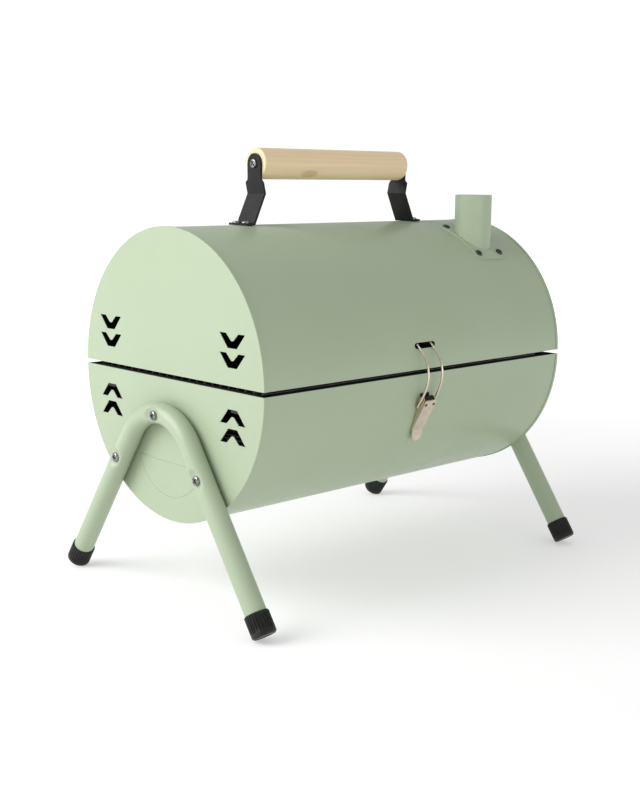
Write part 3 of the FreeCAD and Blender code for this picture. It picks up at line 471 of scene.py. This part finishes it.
def pan_head(radius, rise, across=44):
    """Points and faces of a pan head with a cross recess, seat at the origin, along +Z."""
    shares = [1.0, 0.97, 0.90, 0.80, 0.70, 0.60, 0.50, 0.41, 0.33, 0.26, 0.19, 0.12, 0.06]
    points = ring(across, 0.0, lambda angle: radius)
    for share in shares:
        dome = rise * (0.42 + 0.58 * math.sqrt(max(1 - share ** 3.2, 0)))
        for step in range(across):
            angle = 2 * math.pi * step / across
            x, y = share * math.cos(angle), share * math.sin(angle)
            slot_width = smooth_step((0.19 - min(abs(x), abs(y))) / 0.08)
            slot_length = smooth_step((0.64 - max(abs(x), abs(y))) / 0.12)
            points.append(Vector((x * radius, y * radius, dome - slot_width * slot_length * rise * 0.85)))
    faces = grid_faces(len(shares) + 1, across)
    faces += [tuple(range(across - 1, -1, -1)), tuple(range(len(points) - across, len(points)))]
    return points, faces


def screw_group(name, seats, head, shank, slot, body, node):
    """Pan-head screws in one piece: a seat is (place, direction, spin), head and shank (radius, length)."""
    head_points, head_faces = pan_head(*head)
    sides = 20
    radius, length = shank
    rod = ring(sides, 0.0, lambda angle: radius) + ring(sides, -length, lambda angle: radius)
    points, faces = [], []
    for place, direction, spin in seats:
        turn = direction.to_track_quat("Z", "Y").to_matrix() @ Matrix.Rotation(spin, 3, "Z")
        first = len(points)
        points += [place + turn @ point for point in head_points]
        faces += [tuple(first + corner for corner in face) for face in head_faces]
        first = len(points)
        points += [place + turn @ point for point in rod]
        faces += grid_faces(2, sides, first)
        faces.append(tuple(range(first + sides, first + 2 * sides)))
    build(name, points, faces, slot, body, node)


def leg_screws(name, side):
    """The three screws that hold one leg to the barrel's end."""
    x = side * (END_X + 2 * LEG_RADIUS - SEAT_DEPTH)
    seats = [(Vector((x, y, z)), Vector((side, 0, 0)), spin)
             for (y, z), spin in zip(leg_screw_spots(name), (0.35, 0.9, 1.3))]
    screw_group("leg_screw_heads_" + name, seats, (LEG_SCREW_HEAD, 0.0028), (0.0025, 0.024), "zinc_screw",
                "base", "leg_screws_" + name)


def grip_screws():
    """One screw through each strap into the grip's end."""
    low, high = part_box("grip_screws")
    strap_gauge = 0.0022
    half = (GRIP_HIGH[0] - GRIP_LOW[0]) / 2 + strap_gauge
    seats = [(Vector((GRIP.x + side * half, GRIP.y, GRIP.z)), Vector((side, 0, 0)), spin)
             for side, spin in ((1, 0.3), (-1, 0.85))]
    screw_group("grip_screw_heads", seats, ((high[1] - low[1]) / 2, 0.0024), (0.002, 0.025), "zinc_screw",
                "lid", "grip_screws")


def handle_foot_screws():
    """Two screws on each of the handle's feet."""
    low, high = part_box("handle_foot_screws")
    seats = [(Vector((x, y, high[2] - SMALL_RISE)), Vector((0, 0, 1)), 0.4 + 3 * y / FOOT_SCREW_HEAD)
             for x in (low[0] + FOOT_SCREW_HEAD, high[0] - FOOT_SCREW_HEAD)
             for y in (low[1] + FOOT_SCREW_HEAD, high[1] - FOOT_SCREW_HEAD)]
    screw_group("handle_foot_screw_heads", seats, (FOOT_SCREW_HEAD, SMALL_RISE), (0.002, 0.009), "zinc_screw",
                "lid", "handle_foot_screws")


def chimney_screws():
    """Four dark screws round the chimney, square to the lid's curve."""
    x_middle = middle("chimney_flange").x
    half_spread, flange_gauge = 0.0173, 0.0015
    seats = []
    for angle in CHIMNEY_SCREW_ROWS:
        turn = math.radians(angle)
        out = Vector((0, -math.sin(turn), math.cos(turn)))
        for side in (-1, 1):
            spot = Vector((x_middle + side * half_spread, 0, LID_Z)) + out * (SHELL_RADIUS + flange_gauge)
            seats.append((spot, out, 0.5 + side * angle))
    screw_group("chimney_screw_heads", seats, (CHIMNEY_SCREW_HEAD, SMALL_RISE), (0.002, 0.008), "dark_screw",
                "lid", "chimney_screws")


# ------------------------------------------------------------------ latch wire

def bail_eye():
    """(y, z) of the bail's eyes: where its joint is."""
    joint = [item for item in frame["joints"] if item["name"] == "bail_swing"][0]
    return joint["pos_m"][1:]


def bail():
    """One bent wire: two eyes in the lever, bowed sides, and a top bar hooked through the lid's slot."""
    low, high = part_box("latch_bail")
    x_middle = (low[0] + high[0]) / 2
    half = (high[0] - low[0]) / 2 - BAIL_WIRE
    eye_y, eye_z = bail_eye()
    bow = [(-0.1462, -0.0245), (-0.1518, -0.0122), (-0.1532, -0.0015), (-0.1506, 0.0112), (-0.1440, 0.0205),
           (-0.1378, 0.0256)]
    bar_y, bar_z = -0.1334, AXIS_Z + 0.0302
    side = [(eye_y, eye_z), (eye_y - 0.0012, eye_z + 0.0016)] + [(y, AXIS_Z + rise) for y, rise in bow]
    route = [(x_middle - half + 0.0041, eye_y, eye_z)] + [(x_middle - half, y, z) for y, z in side]
    route += [(x_middle - half + 0.0006, bar_y + 0.0002, bar_z), (x_middle - half + 0.003, bar_y, bar_z)]
    mirrored = [(2 * x_middle - x, y, z) for x, y, z in reversed(route)]
    curve = bpy.data.curves.new("bail_wire", "CURVE")
    curve.dimensions = "3D"
    spline = curve.splines.new("NURBS")
    spline.points.add(len(route) * 2 - 1)
    for point, spot in zip(spline.points, route + mirrored):
        point.co = spot + (1,)
    spline.order_u = 3
    spline.use_endpoint_u = True
    spline.resolution_u = 10
    curve.bevel_depth = BAIL_WIRE
    curve.bevel_resolution = 6
    curve.use_fill_caps = True
    curve.materials.append(MATERIALS["nickel"])
    piece = bpy.data.objects.new("bail_wire", curve)
    bpy.context.scene.collection.objects.link(piece)
    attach(piece, "bail")
    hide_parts("latch_bail")


# ------------------------------------------------------------------ carried-over CAD nodes

def dress_cad():
    """Every CAD node takes its record slot's material, and folded or cut edges get a small bevel."""
    slots = {row["node"]: row["material_slot"] for row in frame["record"]["subparts"]}
    rounded = {"left_handle_bracket": 0.0009, "right_handle_bracket": 0.0009, "chimney_flange": 0.0005,
               "latch_lever": 0.0003, "latch_bracket": 0.0004, "lid_shell": 0.0003, "base_shell": 0.0003,
               "chimney_tube": 0.0003, "handle_grip": 0.0004}
    rounded.update({half + side + "_end": 0.0004 for half in ("lid_", "base_") for side in ("left", "right")})
    for name, node in frame["nodes"].items():
        material = MATERIALS[slots[name]]
        if not node.data.materials:
            node.data.materials.append(material)
        for index in range(len(node.material_slots)):
            node.material_slots[index].material = material
        if name in rounded:
            bevel = node.modifiers.new("edge", "BEVEL")
            bevel.width = rounded[name]
            bevel.segments = 2
            bevel.limit_method = "ANGLE"
            bevel.angle_limit = math.radians(28)


# ------------------------------------------------------------------ studio

def floor():
    """Wide sheet for the grill to stand on."""
    half = 6.0
    corners = [(-half, -half, 0), (half, -half, 0), (half, half, 0), (-half, half, 0)]
    mesh = bpy.data.meshes.new("studio_floor")
    mesh.from_pydata(corners, [], [(0, 1, 2, 3)])
    mesh.materials.append(floor_material())
    sheet = bpy.data.objects.new("studio_floor", mesh)
    bpy.context.scene.collection.objects.link(sheet)


def backdrop():
    """Even white surroundings, dimmer as a light than they look."""
    as_light, as_seen = 0.56, 1.05
    world = bpy.data.worlds.new("studio")
    world.use_nodes = True
    tree = world.node_tree
    background = tree.nodes["Background"]
    background.inputs["Color"].default_value = (1, 1, 1, 1)
    path = tree.nodes.new("ShaderNodeLightPath")
    level = tree.nodes.new("ShaderNodeMapRange")
    level.inputs["To Min"].default_value = as_light
    level.inputs["To Max"].default_value = as_seen
    tree.links.new(path.outputs["Is Camera Ray"], level.inputs["Value"])
    tree.links.new(level.outputs["Result"], background.inputs["Strength"])
    bpy.context.scene.world = world


def softbox(name, place, width, height, power):
    """Rectangular light that faces the barrel."""
    light = bpy.data.lights.new(name, "AREA")
    light.shape = "RECTANGLE"
    light.size, light.size_y, light.energy = width, height, power
    lamp = bpy.data.objects.new(name, light)
    lamp.location = place
    lamp.rotation_euler = (Vector((0, 0, 0.2)) - Vector(place)).to_track_quat("-Z", "Y").to_euler()
    bpy.context.scene.collection.objects.link(lamp)


def camera():
    """Eye-level view from the front left, turned a little clockwise."""
    place = Vector((-0.9038, -0.9410, AXIS_Z + 0.1871))
    yaw, pitch, roll = math.radians(43.34), math.radians(-10.25), math.radians(0.4)
    forward = Vector((math.sin(yaw) * math.cos(pitch), math.cos(yaw) * math.cos(pitch), math.sin(pitch)))
    level = Vector((math.cos(yaw), -math.sin(yaw), 0))
    above = level.cross(forward)
    right = level * math.cos(roll) + above * math.sin(roll)
    up = above * math.cos(roll) - level * math.sin(roll)
    data = bpy.data.cameras.new("camera")
    data.sensor_width = 36
    data.lens = 54.83
    view = bpy.data.objects.new("camera", data)
    turn = Matrix((right, up, -forward)).transposed().to_4x4()
    view.matrix_world = Matrix.Translation(place) @ turn
    bpy.context.scene.collection.objects.link(view)
    bpy.context.scene.camera = view


camera()
dress_cad()
SIDES = (("left", -1), ("right", 1))
for name, side in SIDES:
    leg(name, side)
    for place, way in (("front", -1), ("rear", 1)):
        foot_cap("foot_cap_%s_%s" % (name, place), side, way)
for name, side in SIDES:
    leg_screws(name, side)
grip_screws()
handle_foot_screws()
chimney_screws()
bail()
floor()
backdrop()
softbox("key", (-1.95, 0.9, 1.45), 1.8, 1.8, 62)
softbox("front", (-0.3, -2.6, 0.45), 1.8, 0.5, 9)
bpy.context.scene.view_settings.view_transform = "Standard"
